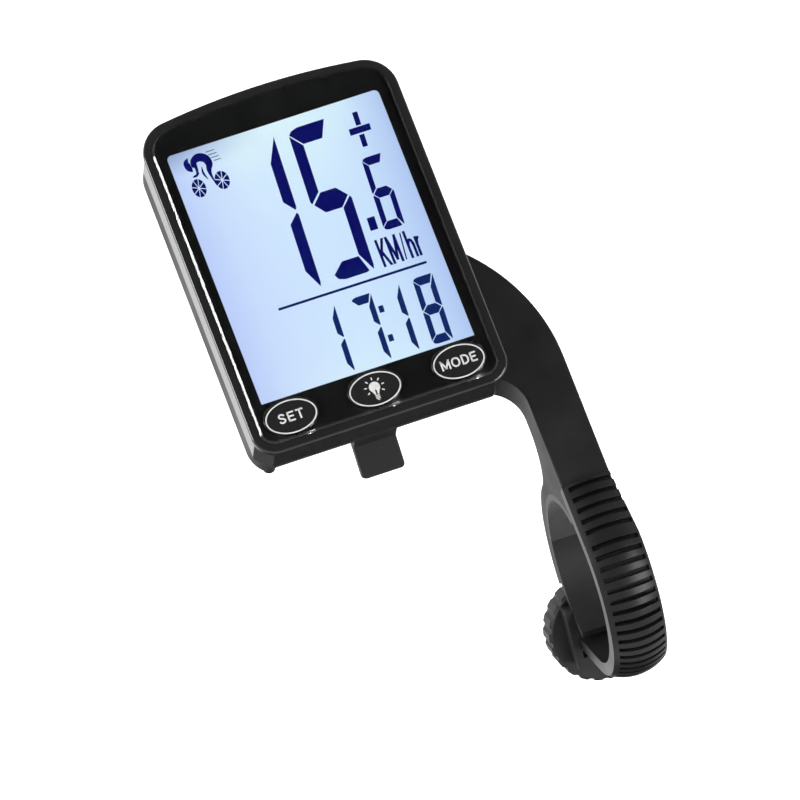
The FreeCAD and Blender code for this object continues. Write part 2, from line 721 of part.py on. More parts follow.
def arm_plan():
    """The arm seen from above: straight beside the bar, then bent round under the head."""
    radius = ARM_RIGHT - BEND_X
    far_angle = math.asin((PLATE_FAR_Y - BEND_Y) / radius)
    mid_angle = far_angle / 2
    low = LOW_REACH_Z

    def at(x, y):
        return Vector(x, y, low)

    def on_bend(angle):
        return at(BEND_X + radius * math.cos(angle), BEND_Y + radius * math.sin(angle))

    corner = PLATE_CORNER_R
    slant = corner * (1 - math.sqrt(0.5))
    inner_x = ARM_LEFT - INNER_BEND_R
    inner_y = PLATE_NEAR_Y - INNER_BEND_R
    half_turn = INNER_BEND_R * math.sqrt(0.5)
    edges = [
        Part.LineSegment(at(ARM_RIGHT, 0), at(ARM_RIGHT, BEND_Y)).toShape(),
        Part.Arc(at(ARM_RIGHT, BEND_Y), on_bend(mid_angle), on_bend(far_angle)).toShape(),
        Part.LineSegment(on_bend(far_angle), at(PLATE_LEFT + corner, PLATE_FAR_Y)).toShape(),
        Part.Arc(at(PLATE_LEFT + corner, PLATE_FAR_Y), at(PLATE_LEFT + slant, PLATE_FAR_Y - slant),
                 at(PLATE_LEFT, PLATE_FAR_Y - corner)).toShape(),
        Part.LineSegment(at(PLATE_LEFT, PLATE_FAR_Y - corner),
                         at(PLATE_LEFT, PLATE_NEAR_Y + corner)).toShape(),
        Part.Arc(at(PLATE_LEFT, PLATE_NEAR_Y + corner), at(PLATE_LEFT + slant, PLATE_NEAR_Y + slant),
                 at(PLATE_LEFT + corner, PLATE_NEAR_Y)).toShape(),
        Part.LineSegment(at(PLATE_LEFT + corner, PLATE_NEAR_Y), at(inner_x, PLATE_NEAR_Y)).toShape(),
        Part.Arc(at(inner_x, PLATE_NEAR_Y), at(inner_x + half_turn, inner_y + half_turn),
                 at(ARM_LEFT, inner_y)).toShape(),
        Part.LineSegment(at(ARM_LEFT, inner_y), at(ARM_LEFT, 0)).toShape(),
        Part.LineSegment(at(ARM_LEFT, 0), at(ARM_RIGHT, 0)).toShape()]
    return outline_prism(edges, Vector(0, 0, ARM_TOP_Z - low))


LOW_REACH_Z = -5.0
LONG_REACH = 90.0


def arm_side():
    """The arm seen from the side: level beam, flared down to the saddle."""
    left = -LONG_REACH

    def at(y, z):
        return Vector(left, y, z)

    flare_mid = FLARE_R * math.sqrt(0.5)
    flare_low = ARM_LOW_Z - FLARE_R
    edges = [
        Part.LineSegment(at(SEAT_Y, BAR_RADIUS), at(ROOT_Y, BAR_RADIUS)).toShape(),
        Part.LineSegment(at(ROOT_Y, BAR_RADIUS), at(ROOT_Y, ARM_TOP_Z)).toShape(),
        Part.LineSegment(at(ROOT_Y, ARM_TOP_Z), at(LONG_REACH, ARM_TOP_Z)).toShape(),
        Part.LineSegment(at(LONG_REACH, ARM_TOP_Z), at(LONG_REACH, ARM_LOW_Z)).toShape(),
        Part.LineSegment(at(LONG_REACH, ARM_LOW_Z), at(FLARE_Y, ARM_LOW_Z)).toShape(),
        Part.Arc(at(FLARE_Y, ARM_LOW_Z), at(FLARE_Y - flare_mid, flare_low + flare_mid),
                 at(FLARE_Y - FLARE_R, flare_low)).toShape(),
        Part.LineSegment(at(FLARE_Y - FLARE_R, flare_low), at(SEAT_Y, flare_low)).toShape(),
        Part.LineSegment(at(SEAT_Y, flare_low), at(SEAT_Y, BAR_RADIUS)).toShape()]
    return outline_prism(edges, Vector(2 * LONG_REACH, 0, 0))


def plate_relief():
    """Space under the mounting plate, where the arm is thinner."""
    deep = LOW_REACH_Z - 1
    points = [(-LONG_REACH, deep), (-LONG_REACH, PLATE_LOW_Z), (HEAD_X + 17, PLATE_LOW_Z),
              (HEAD_X + 24, ARM_LOW_Z - 0.5), (HEAD_X + 24, deep)]
    return outline_prism(lines([Vector(x, FLARE_Y, z) for x, z in points]), Vector(0, LONG_REACH, 0))


KEY_LUG_Y = (9.6, 12.2)
KEY_LUG_LOW_Z = 14.6
KEY_LUG_HALF = 3.0


def strap_lug(grow):
    """Lug under the strap's root that is keyed into the arm."""
    return box(around(0, KEY_LUG_HALF + grow), KEY_LUG_Y, (KEY_LUG_LOW_Z, BAR_RADIUS))


def extension_arm():
    """Arm, saddle and the foot that the dial nut bears on, moulded as one."""
    beam = arm_plan()
    beam = beam.makeFillet(FAR_BEND_R, [e for e in vertical_edges(beam, PLATE_FAR_Y - 0.1, FAR)
                                        if e.CenterOfMass.x > HEAD_X + SHOE_HALF])
    beam = beam.common(arm_side()).cut(plate_relief())
    beam = beam.makeFillet(0.4, [e for e in level_edges(beam, ARM_TOP_Z)
                                 if e.CenterOfMass.y > ROOT_Y + 0.1])
    full = around(0, STRAP_HALF)
    saddle = sector(BAR_RADIUS, SADDLE_OUTER, THICK_END, 12.0, full)
    lower = sector(BAR_RADIUS, LOWER_OUTER, LOWER_END, THICK_END, full)
    foot = tail_frame(box(around(0, FOOT_HALF), FOOT_ALONG, (-FOOT_OUT[1], -FOOT_OUT[0])))
    bar = axle(0, 0, BAR_RADIUS, around(0, LONG_REACH))
    pad = sector(BAR_RADIUS - 1, BAR_RADIUS + PAD_THICK, PAD_START, PAD_END, (ARM_LEFT - 1, STRAP_HALF + 1))
    slot = tail_frame(box(around(0, STRAP_HALF + FIT_GAP), (0, TAIL_LENGTH), (-STRAP_TOP - 0.1, -BAR_RADIUS)))
    nut_room = tail_frame(Part.makeCylinder(NUT_R + 0.4, LONG_REACH, Vector(0, NUT_NEAR - 0.2, -STRAP_MID),
                                            Vector(0, 1, 0)))
    screws = [countersunk(x, y, SHOE_TOP_Z, SHOE_SCREW_LOW_Z) for x, y in shoe_screw_places()]
    return cut(union([beam, saddle, lower, foot]), [bar, pad, slot, nut_room, strap_lug(0)] + screws)


def saddle_pad():
    """Rubber liner between the saddle and the bar."""
    return sector(BAR_RADIUS, BAR_RADIUS + PAD_THICK, PAD_START, PAD_END, (ARM_LEFT, STRAP_HALF))


def strap_section():
    """The strap's cross-section at the top of the bar: flat inside, crowned outside."""
    low_left = Vector(-STRAP_HALF, 0, BAR_RADIUS)
    low_right = Vector(STRAP_HALF, 0, BAR_RADIUS)
    top_right = Vector(STRAP_HALF, 0, STRAP_SHOULDER)
    top_left = Vector(-STRAP_HALF, 0, STRAP_SHOULDER)
    return Part.Face(Part.Wire([
        Part.LineSegment(low_left, low_right).toShape(),
        Part.LineSegment(low_right, top_right).toShape(),
        Part.Arc(top_right, Vector(0, 0, STRAP_TOP), top_left).toShape(),
        Part.LineSegment(top_left, low_left).toShape()]))


LEFT_RAIL = 1.0
RIGHT_RAIL = 0.5


def strap_grooves():
    """Cross grooves between the ribs, from the strap's root to the end of its tail."""
    wide = (-STRAP_HALF + LEFT_RAIL, STRAP_HALF - RIGHT_RAIL)
    cutter = box(wide, around(0, GROOVE_WIDTH / 2), (GROOVE_FLOOR, STRAP_TOP + 1))
    grooves = []
    for step in range(1, int(ROOT_Y / RIB_PITCH) + 1):
        groove = cutter.copy()
        groove.translate(Vector(0, ROOT_Y - (step - 0.5) * RIB_PITCH, 0))
        grooves.append(groove)
    pitch_angle = math.degrees(RIB_PITCH / STRAP_TOP)
    for step in range(int((LEAVE_ANGLE - 90) / pitch_angle)):
        groove = cutter.copy()
        groove.rotate(Vector(), Vector(1, 0, 0), (step + 0.3) * pitch_angle)
        grooves.append(groove)
    for step in range(int(TAIL_LENGTH / RIB_PITCH)):
        groove = cutter.copy()
        groove.translate(Vector(0, -(step + 0.6) * RIB_PITCH, 0))
        groove.rotate(Vector(), Vector(1, 0, 0), LEAVE_ANGLE - 90)
        grooves.append(groove)
    return grooves


def ribbed_strap():
    """Flexible strap: keyed into the arm, round the bar and out through the nut."""
    section = strap_section()
    root = section.extrude(Vector(0, ROOT_Y, 0))
    taper = outline_prism(lines([
        Vector(ARM_RIGHT, ROOT_Y, 0), Vector(STRAP_HALF, 0, 0), Vector(STRAP_HALF + 2, 0, 0),
        Vector(STRAP_HALF + 2, ROOT_Y, 0)]), Vector(0, 0, STRAP_TOP + 1))
    root = root.cut(taper)
    wrap = section.revolve(Vector(), Vector(1, 0, 0), LEAVE_ANGLE - 90)
    tail = section.extrude(Vector(0, -TAIL_LENGTH, 0))
    tail = tail.makeFillet(2.0, vertical_edges(tail, -TAIL_LENGTH - 1, -TAIL_LENGTH + 1))
    tail.rotate(Vector(), Vector(1, 0, 0), LEAVE_ANGLE - 90)
    return cut(union([root, wrap, tail, strap_lug(0)]), strap_grooves())


def nut_shape():
    """The dial nut drawn round the Y axis, before it is put on the tail."""
    start = Vector(0, NUT_NEAR, -STRAP_MID)
    disc = Part.makeCylinder(NUT_R, NUT_THICK, start, Vector(0, 1, 0))
    disc = disc.makeChamfer(0.6, [e for e in disc.Edges if e.Closed and e.BoundBox.YLength < 1e-6])
    tools = [Part.makeCylinder(NUT_BORE_R, NUT_THICK + 2, start - Vector(0, 1, 0), Vector(0, 1, 0))]
    for step in range(NUT_FLUTES):
        angle = 2 * math.pi * step / NUT_FLUTES
        reach = NUT_R + 0.35
        centre = start + Vector(reach * math.cos(angle), -1, reach * math.sin(angle))
        tools.append(Part.makeCylinder(0.8, NUT_THICK + 2, centre, Vector(0, 1, 0)))
    return cut(disc, tools)


def dial_nut():
    """Round fluted nut that draws the strap tight by hand."""
    return tail_frame(nut_shape())


# ---- the whole object ----
def place(shape):
    """Tilt the level drawing toward the rider about the bar."""
    placed = shape.copy()
    placed.rotate(Vector(), Vector(1, 0, 0), TILT)
    return placed


PARTS = {
    "front_bezel": front_bezel(),
    "display_lens": display_lens(),
    "lens_mask": lens_mask(),
    "key_set": key(key_places()[0]),
    "key_light": key(key_places()[1]),
    "key_mode": key(key_places()[2]),
    "key_domes": key_domes(),
    "lcd_panel": lcd_panel(),
    "light_guide": light_guide(),
    "backlight_leds": backlight_leds(),
    "lcd_frame": lcd_frame(),
    "contact_strip": contact_strip(),
    "circuit_board": circuit_board(),
    "controller_chip": controller_chip(),
    "timing_crystal": timing_crystal(),
    "radio_coil": radio_coil(),
    "coin_cell": coin_cell(),
    "battery_contact_plus": battery_contact_plus(),
    "battery_contact_minus": battery_contact_minus(),
    "battery_door": battery_door(),
    "door_seal": door_seal(),
    "case_gasket": case_gasket(),
    "rear_shell": rear_shell(),
    "case_screws": case_screws(),
    "bracket_shoe": bracket_shoe(),
    "shoe_screws": shoe_screws(),
    "release_latch": release_latch(),
    "extension_arm": extension_arm(),
    "saddle_pad": saddle_pad(),
    "ribbed_strap": ribbed_strap(),
    "dial_nut": dial_nut(),
}

os.makedirs("parts", exist_ok=True)
for name, shape in PARTS.items():
    solid = place(shape)
    print(name, "valid", solid.isValid(), "solids", len(solid.Solids), "volume", round(solid.Volume, 1))
    solid.exportStep("parts/" + name + ".step")
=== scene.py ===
import json
import math

import bmesh
import bpy
from mathutils import Matrix, Vector


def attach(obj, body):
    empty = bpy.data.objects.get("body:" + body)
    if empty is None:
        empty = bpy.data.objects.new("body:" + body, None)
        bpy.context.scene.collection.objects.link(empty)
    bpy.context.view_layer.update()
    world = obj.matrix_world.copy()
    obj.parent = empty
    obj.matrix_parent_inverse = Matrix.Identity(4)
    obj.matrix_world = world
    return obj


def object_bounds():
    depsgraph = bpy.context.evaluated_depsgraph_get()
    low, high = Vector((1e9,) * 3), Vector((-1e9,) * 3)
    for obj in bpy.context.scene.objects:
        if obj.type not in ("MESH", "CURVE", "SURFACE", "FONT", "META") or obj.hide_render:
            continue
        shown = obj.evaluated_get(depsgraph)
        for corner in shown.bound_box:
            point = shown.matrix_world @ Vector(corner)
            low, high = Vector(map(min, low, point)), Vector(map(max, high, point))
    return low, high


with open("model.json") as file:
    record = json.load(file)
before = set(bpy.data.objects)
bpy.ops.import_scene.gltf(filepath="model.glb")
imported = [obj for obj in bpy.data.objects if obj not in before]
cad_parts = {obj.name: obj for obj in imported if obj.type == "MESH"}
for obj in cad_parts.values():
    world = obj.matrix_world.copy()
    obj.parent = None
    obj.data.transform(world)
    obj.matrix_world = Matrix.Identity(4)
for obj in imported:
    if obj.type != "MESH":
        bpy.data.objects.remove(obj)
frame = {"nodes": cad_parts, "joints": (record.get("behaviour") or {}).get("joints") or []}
CAD_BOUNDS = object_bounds()

MM = 0.001

# ---------------------------------------------------------------- the display's own axes
# across runs to the rider's right, forward up the display, and outward off its face.
# A level position is measured along these three.
JOINTS = {joint["name"]: joint for joint in frame["joints"]}
ACROSS = Vector((1, 0, 0))
FORWARD = Vector(JOINTS["head_slide"]["axis"]).normalized()
OUTWARD = ACROSS.cross(FORWARD)
TILTED = Matrix((ACROSS, FORWARD, OUTWARD)).transposed()
LEVEL = TILTED.transposed()


def level_box(node):
    """A node's lowest and highest corner along the display's own axes."""
    spots = [LEVEL @ vertex.co for vertex in frame["nodes"][node].data.vertices]
    low = Vector([min(spot[i] for spot in spots) for i in range(3)])
    high = Vector([max(spot[i] for spot in spots) for i in range(3)])
    return low, high


HEAD_LOW, HEAD_HIGH = level_box("front_bezel")
HEAD_X = (HEAD_LOW.x + HEAD_HIGH.x) / 2

# The window in the mask: its top left corner is where the display's picture is measured from.
WINDOW_WIDTH = 41.8 * MM
WINDOW_HEIGHT = 51.7 * MM
WINDOW_LEFT = HEAD_X - WINDOW_WIDTH / 2
WINDOW_RIGHT = WINDOW_LEFT + WINDOW_WIDTH
WINDOW_FOOT = level_box("light_guide")[0].y
WINDOW_TOP = WINDOW_FOOT + WINDOW_HEIGHT
PANEL_TOP = level_box("lcd_panel")[1].z


# ---------------------------------------------------------------- meshes
def finished(made, name):
    """Turns what bmesh has made into a mesh."""
    mesh = bpy.data.meshes.new(name)
    made.to_mesh(mesh)
    made.free()
    return mesh


def add_piece(name, mesh, body, material):
    """Puts a finished mesh into the scene, riding on a body."""
    piece = bpy.data.objects.new(name, mesh)
    bpy.context.scene.collection.objects.link(piece)
    mesh.materials.append(material)
    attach(piece, body)


def raise_outlines(outlines, base, thick):
    """Thin solids on flat outlines, given as level positions, standing on the height base."""
    made = bmesh.new()
    for outline in outlines:
        low = [made.verts.new(TILTED @ Vector((x, y, base))) for x, y in outline]
        high = [made.verts.new(TILTED @ Vector((x, y, base + thick))) for x, y in outline]
        made.faces.new(high)
        made.faces.new(low[::-1])
        for i in range(len(low)):
            j = (i + 1) % len(low)
            made.faces.new((low[i], low[j], high[j], high[i]))
    bmesh.ops.recalc_face_normals(made, faces=made.faces)
    return finished(made, "raised")


def joined(meshes):
    """Several meshes as one."""
    made = bmesh.new()
    for mesh in meshes:
        made.from_mesh(mesh)
        bpy.data.meshes.remove(mesh)
    return finished(made, "joined")


# ---------------------------------------------------------------- materials
def linear(red, green, blue):
    """An 8-bit sRGB colour as linear light."""
    parts = []
    for value in (red / 255, green / 255, blue / 255):
        parts.append(value / 12.92 if value <= 0.04045 else ((value + 0.055) / 1.055) ** 2.4)
    return (*parts, 1.0)


def grey(level):
    """A colourless colour, in linear light."""
    return (level, level, level, 1)


BLACK = grey(0)
WHITE = grey(1)


class Shader:
    """A material's node tree, built one short call at a time."""

    def __init__(self, name):
        self.material = bpy.data.materials.new(name)
        self.material.use_nodes = True
        self.tree = self.material.node_tree
        self.surface = self.tree.nodes["Principled BSDF"]
        self.place = self.node("ShaderNodeTexCoord").outputs["Object"]

    def node(self, kind, **values):
        """Adds a node and sets its own properties."""
        made = self.tree.nodes.new(kind)
        for key, value in values.items():
            setattr(made, key, value)
        return made

    def link(self, source, target):
        """Joins an output to an input."""
        self.tree.links.new(source, target)

    def set(self, **values):
        """Sets values on the surface shader."""
        for key, value in values.items():
            self.surface.inputs[key.replace("_", " ")].default_value = value

    def feed(self, **links):
        """Links patterns into the surface shader, and gives the material."""
        for key, source in links.items():
            self.link(source, self.surface.inputs[key.replace("_", " ")])
        return self.material

    def noise(self, size, detail=4.0, rough=0.55, stretch=None):
        """Noise whose features are about this many metres across."""
        made = self.node("ShaderNodeTexNoise")
        made.inputs["Scale"].default_value = 1 / size
        made.inputs["Detail"].default_value = detail
        made.inputs["Roughness"].default_value = rough
        source = self.place
        if stretch:
            scaled = self.node("ShaderNodeVectorMath", operation="MULTIPLY")
            scaled.inputs[1].default_value = stretch
            self.link(source, scaled.inputs[0])
            source = scaled.outputs["Vector"]
        self.link(source, made.inputs["Vector"])
        return made.outputs["Fac"]

    def spread(self, source, low, high, start=0.3, end=0.7):
        """Maps a pattern's values from start to end onto the values from low to high."""
        made = self.node("ShaderNodeMapRange")
        made.inputs["From Min"].default_value = start
        made.inputs["From Max"].default_value = end
        made.inputs["To Min"].default_value = low
        made.inputs["To Max"].default_value = high
        self.link(source, made.inputs["Value"])
        return made.outputs["Result"]

    def along(self, axis, start, end):
        """0 to 1 along one of the display's axes, between two level positions."""
        made = self.node("ShaderNodeVectorMath", operation="DOT_PRODUCT")
        made.inputs[1].default_value = axis
        self.link(self.place, made.inputs[0])
        return self.spread(made.outputs["Value"], 0, 1, start, end)

    def times(self, first, second):
        """Two patterns multiplied."""
        made = self.node("ShaderNodeMath", operation="MULTIPLY")
        self.link(first, made.inputs[0])
        self.link(second, made.inputs[1])
        return made.outputs["Value"]

    def ramp(self, source, first, last, between):
        """A smooth run of colours as a pattern goes from 0 to 1, with more colours at places between."""
        made = self.node("ShaderNodeValToRGB")
        made.color_ramp.interpolation = "B_SPLINE"
        stops = made.color_ramp.elements
        stops[0].color = first
        stops[1].color = last
        for place, colour in between:
            stops.new(place).color = colour
        self.link(source, made.inputs["Fac"])
        return made.outputs["Color"]

    def mix(self, factor, first, second):
        """Blends two colours by a pattern; each is a colour or another pattern."""
        made = self.node("ShaderNodeMix", data_type="RGBA")
        self.link(factor, made.inputs["Factor"])
        for socket, value in ((made.inputs[6], first), (made.inputs[7], second)):
            if isinstance(value, tuple):
                socket.default_value = value
            else:
                self.link(value, socket)
        return made.outputs[2]

    def bump(self, source, height, normal=None):
        """Raises the surface by a pattern, height in metres."""
        made = self.node("ShaderNodeBump")
        made.inputs["Distance"].default_value = height
        made.inputs["Strength"].default_value = 1.0
        self.link(source, made.inputs["Height"])
        if normal:
            self.link(normal, made.inputs["Normal"])
        return made.outputs["Normal"]

    def soft_edge(self, radius):
        """Shades edges as if rounded."""
        made = self.node("ShaderNodeBevel", samples=4)
        made.inputs["Radius"].default_value = radius
        return made.outputs["Normal"]


def moulded(name, dark, light, rough, grain, depth, edge=0.12 * MM):
    """Black moulded plastic: fine grain, faint handling marks and slightly rounded edges."""
    shader = Shader(name)
    shader.set(IOR=1.5, Specular_IOR_Level=0.22)
    handling = shader.noise(9 * MM, detail=5)
    speckle = shader.noise(grain, detail=2)
    normal = shader.bump(speckle, depth, shader.soft_edge(edge))
    colour = shader.mix(shader.spread(handling, 0, 1), dark, light)
    gloss = shader.spread(handling, rough - 0.05, rough + 0.06)
    return shader.feed(Base_Color=colour, Roughness=gloss, Normal=normal)


def glossy(name, dark, light, rough):
    """Polished black plastic with faint wiping marks and a very slight waviness."""
    shader = Shader(name)
    shader.set(IOR=1.5)
    wiping = shader.noise(5 * MM, detail=6, rough=0.6, stretch=(1, 0.35, 1))
    waves = shader.noise(20 * MM, detail=1)
    colour = shader.mix(shader.spread(wiping, 0, 1), dark, light)
    gloss = shader.spread(wiping, rough, rough + 0.03)
    return shader.feed(Base_Color=colour, Roughness=gloss, Normal=shader.bump(waves, 0.002 * MM))


def metal(name, colour, dull, rough, brushed):
    """Metal with short brush marks and a little tarnish."""
    shader = Shader(name)
    shader.set(Metallic=1.0)
    brush = shader.noise(0.25 * MM, detail=3, rough=0.5, stretch=brushed)
    tarnish = shader.noise(1.6 * MM, detail=5)
    base = shader.mix(shader.spread(tarnish, 0, 1), colour, dull)
    gloss = shader.spread(brush, rough, rough + 0.16)
    return shader.feed(Base_Color=base, Roughness=gloss, Normal=shader.bump(brush, 0.003 * MM))


def rubber(name, dark, light):
    """Matt black rubber with a soft bloom."""
    shader = Shader(name)
    shader.set(IOR=1.45, Sheen_Weight=0.15, Sheen_Roughness=0.5)
    bloom = shader.noise(3 * MM, detail=5)
    pores = shader.noise(0.12 * MM, detail=3)
    colour = shader.mix(shader.spread(bloom, 0, 1), dark, light)
    normal = shader.bump(pores, 0.01 * MM, shader.soft_edge(0.1 * MM))
    return shader.feed(Base_Color=colour, Roughness=shader.spread(bloom, 0.6, 0.78), Normal=normal)


# The backlit field's colours: its sides from left to right, the pale glow over them, strongest at
# the top and the foot of the middle, and the shade in its top left corner.
FIELD_LEFT = linear(184, 203, 248)
FIELD_RIGHT = linear(170, 194, 238)
FIELD_BETWEEN = ((0.14, linear(200, 219, 253)), (0.45, linear(206, 231, 254)), (0.8, linear(200, 225, 253)))
FIELD_GLOW = linear(228, 254, 250)
FIELD_SHADE = linear(146, 168, 204)
GLOW_DOWN = ((0.12, grey(0.6)), (0.35, grey(0.1)), (0.75, grey(0.02)), (0.92, grey(0.22)))
GLOW_ACROSS = ((0.3, grey(0.7)), (0.62, WHITE), (0.85, grey(0.4)))
# How far the shade reaches, as shares of the window's width and height.
SHADE_ACROSS = 0.45
SHADE_DOWN = 0.09


def lit_panel():
    """The backlit field: blue with lilac sides, and a pale glow at the top and foot of the middle."""
    shader = Shader("lit_panel")
    shader.set(Base_Color=linear(60, 66, 80), Roughness=0.12, Emission_Strength=1.02)
    across = shader.along(ACROSS, WINDOW_LEFT, WINDOW_RIGHT)
    down = shader.along(FORWARD, WINDOW_TOP, WINDOW_FOOT)
    field = shader.ramp(across, FIELD_LEFT, FIELD_RIGHT, FIELD_BETWEEN)
    glow = shader.times(shader.ramp(down, grey(0.85), grey(0.45), GLOW_DOWN),
                        shader.ramp(across, BLACK, BLACK, GLOW_ACROSS))
    cloud = shader.spread(shader.noise(11 * MM, detail=2), 0.75, 1.15)
    lit = shader.mix(shader.times(glow, cloud), field, FIELD_GLOW)
    corner = shader.times(shader.along(ACROSS, WINDOW_LEFT + WINDOW_WIDTH * SHADE_ACROSS, WINDOW_LEFT),
                          shader.along(FORWARD, WINDOW_TOP - WINDOW_HEIGHT * SHADE_DOWN, WINDOW_TOP))
    return shader.feed(Emission_Color=shader.mix(corner, lit, FIELD_SHADE))


# The ink turns paler between these two shares of the window's height, above the lower line of digits.
PALER_FROM = 0.6
PALER_TO = 0.75


def display_ink():
    """Dark blue liquid-crystal segments, paler and greener in the lower line."""
    shader = Shader("display_ink")
    shader.set(Roughness=0.4, Specular_IOR_Level=0.1, Emission_Strength=1.0)
    patches = shader.noise(8 * MM, detail=2)
    paler = shader.along(FORWARD, WINDOW_TOP - WINDOW_HEIGHT * PALER_FROM,
                         WINDOW_TOP - WINDOW_HEIGHT * PALER_TO)
    deep = shader.mix(shader.spread(patches, 0, 1), linear(0, 0, 92), linear(0, 8, 96))
    colour = shader.mix(paler, deep, linear(8, 36, 98))
    base = shader.mix(patches, linear(4, 4, 30), linear(8, 10, 40))
    return shader.feed(Base_Color=base, Emission_Color=colour)


def clear_lens():
    """Hard clear acrylic with a trace of wiping marks."""
    shader = Shader("clear_lens")
    shader.set(Base_Color=WHITE, IOR=1.45, Transmission_Weight=1.0)
    wiping = shader.noise(6 * MM, detail=5, rough=0.6, stretch=(1, 0.4, 1))
    return shader.feed(Roughness=shader.spread(wiping, 0.045, 0.06))


def printed(name, colour, worn):
    """Screen-printed ink with slightly uneven cover."""
    shader = Shader(name)
    shader.set(IOR=1.45)
    cover = shader.noise(0.5 * MM)
    base = shader.mix(shader.spread(cover, 0, 1, start=0.35, end=0.75), colour, worn)
    return shader.feed(Base_Color=base, Roughness=shader.spread(cover, 0.38, 0.5))


def frosted(name, colour, shade, glow=0.0):
    """Milky moulding, which may glow with the backlight."""
    shader = Shader(name)
    shader.set(IOR=1.49, Subsurface_Weight=0.3, Emission_Strength=glow)
    dots = shader.noise(0.4 * MM, detail=2)
    base = shader.mix(shader.spread(dots, 0, 1), colour, shade)
    gloss = shader.spread(dots, 0.3, 0.5)
    return shader.feed(Base_Color=base, Emission_Color=base, Roughness=gloss,
                       Normal=shader.bump(dots, 0.01 * MM))


def board_face():
    """Green solder mask over a pattern of copper tracks."""
    shader = Shader("board_face")
    shader.set(IOR=1.5, Coat_Weight=0.3)
    tracks = shader.node("ShaderNodeTexBrick")
    tracks.inputs["Scale"].default_value = 1 / (9 * MM)
    tracks.inputs["Mortar Size"].default_value = 0.012
    tracks.inputs["Color1"].default_value = BLACK
    tracks.inputs["Color2"].default_value = grey(0.25)
    tracks.inputs["Mortar"].default_value = WHITE
    shader.link(shader.place, tracks.inputs["Vector"])
    raised = tracks.outputs["Color"]
    base = shader.mix(raised, linear(16, 74, 42), linear(44, 120, 66))
    gloss = shader.spread(shader.noise(2 * MM), 0.25, 0.4)
    return shader.feed(Base_Color=base, Roughness=gloss, Normal=shader.bump(raised, 0.02 * MM))


GLOSS_BLACK = glossy("gloss_black", linear(25, 25, 26), linear(29, 29, 30), rough=0.06)
MASK_BLACK = glossy("mask_black", linear(23, 23, 24), linear(27, 27, 28), rough=0.3)
KEY_BLACK = glossy("key_black", linear(24, 24, 25), linear(28, 28, 29), rough=0.2)
ARM_BLACK = moulded("arm_black", linear(22, 22, 23), linear(27, 27, 28),
                    rough=0.5, grain=0.12 * MM, depth=0.006 * MM)
STRAP_BLACK = moulded("strap_black", linear(20, 20, 21), linear(28, 28, 29),
                      rough=0.34, grain=0.3 * MM, depth=0.008 * MM)
SHELL_BLACK = moulded("shell_black", linear(22, 22, 23), linear(30, 30, 31),
                      rough=0.46, grain=0.18 * MM, depth=0.012 * MM)
NUT_BLACK = moulded("nut_black", linear(22, 22, 23), linear(32, 32, 33),
                    rough=0.42, grain=0.2 * MM, depth=0.01 * MM, edge=0.2 * MM)
CHIP_BLACK = moulded("chip_black", linear(28, 28, 30), linear(40, 40, 42),
                     rough=0.55, grain=0.08 * MM, depth=0.01 * MM)
COPPER = metal("copper_winding", linear(196, 118, 66), linear(150, 82, 44), rough=0.3, brushed=(6, 0.4, 0.4))
STEEL = metal("plated_steel", linear(198, 198, 194), linear(150, 150, 146), rough=0.24, brushed=(1, 1, 1))
CELL_STEEL = metal("cell_steel", linear(206, 206, 204), linear(168, 168, 164), rough=0.2, brushed=(0.3, 3, 1))
RUBBER_BLACK = rubber("rubber_black", linear(24, 24, 25), linear(38, 38, 39))
TRAY_WHITE = frosted("tray_white", linear(232, 232, 226), linear(214, 214, 206))
GUIDE = frosted("light_guide_milk", linear(226, 238, 255), linear(206, 222, 250), glow=0.6)
PRINT_WHITE = printed("print_white", linear(190, 190, 188), linear(166, 166, 164))
INK = display_ink()

NODE_MATERIALS = {
    "front_bezel": GLOSS_BLACK,
    "display_lens": clear_lens(),
    "lens_mask": MASK_BLACK,
    "key_set": KEY_BLACK,
    "key_light": KEY_BLACK,
    "key_mode": KEY_BLACK,
    "key_domes": STEEL,
    "lcd_panel": lit_panel(),
    "light_guide": GUIDE,
    "backlight_leds": GUIDE,
    "lcd_frame": TRAY_WHITE,
    "contact_strip": RUBBER_BLACK,
    "circuit_board": board_face(),
    "controller_chip": CHIP_BLACK,
    "timing_crystal": STEEL,
    "radio_coil": COPPER,
    "coin_cell": CELL_STEEL,
    "battery_contact_plus": STEEL,
    "battery_contact_minus": STEEL,
    "battery_door": SHELL_BLACK,
    "door_seal": RUBBER_BLACK,
    "case_gasket": RUBBER_BLACK,
    "rear_shell": SHELL_BLACK,
    "case_screws": STEEL,
    "bracket_shoe": ARM_BLACK,
    "shoe_screws": STEEL,
    "release_latch": ARM_BLACK,
    "extension_arm": ARM_BLACK,
    "saddle_pad": RUBBER_BLACK,
    "ribbed_strap": STRAP_BLACK,
    "dial_nut": NUT_BLACK,
}
for node, material in NODE_MATERIALS.items():
    for material_slot in frame["nodes"][node].material_slots:
        material_slot.material = material


# ---------------------------------------------------------------- the display's digits
# The picture is drawn in millimetres, right and down from the window's top left corner.
LEAN = 0.055
# Each line of digits: its top edge, a digit's width and height, the widths of its upright bars and
# level beams, and the gap between segments.
SPEED = {"top": 2.3, "width": 7.7, "height": 31.2, "bar": 2.1, "beam": 3.5, "gap": 0.26}
TENTHS = {"top": 12.1, "width": 4.05, "height": 14.8, "bar": 1.0, "beam": 1.65, "gap": 0.13}
CLOCK = {"top": 37.5, "width": 3.95, "height": 13.5, "bar": 1.05, "beam": 1.7, "gap": 0.13}
SEGMENTS = {"1": "bc", "5": "acdfg", "6": "acdefg", "7": "abc", "8": "abcdefg"}
# The rule between speed and time drops a little from left to right.
RULE_LEFT = (9.4, 34.85)
RULE_RIGHT = (38.5, 34.95)
RULE_LINE = 0.48


def on_window(points):
    """The picture's points as level positions."""
    return [(WINDOW_LEFT + x * MM, WINDOW_TOP - y * MM) for x, y in points]


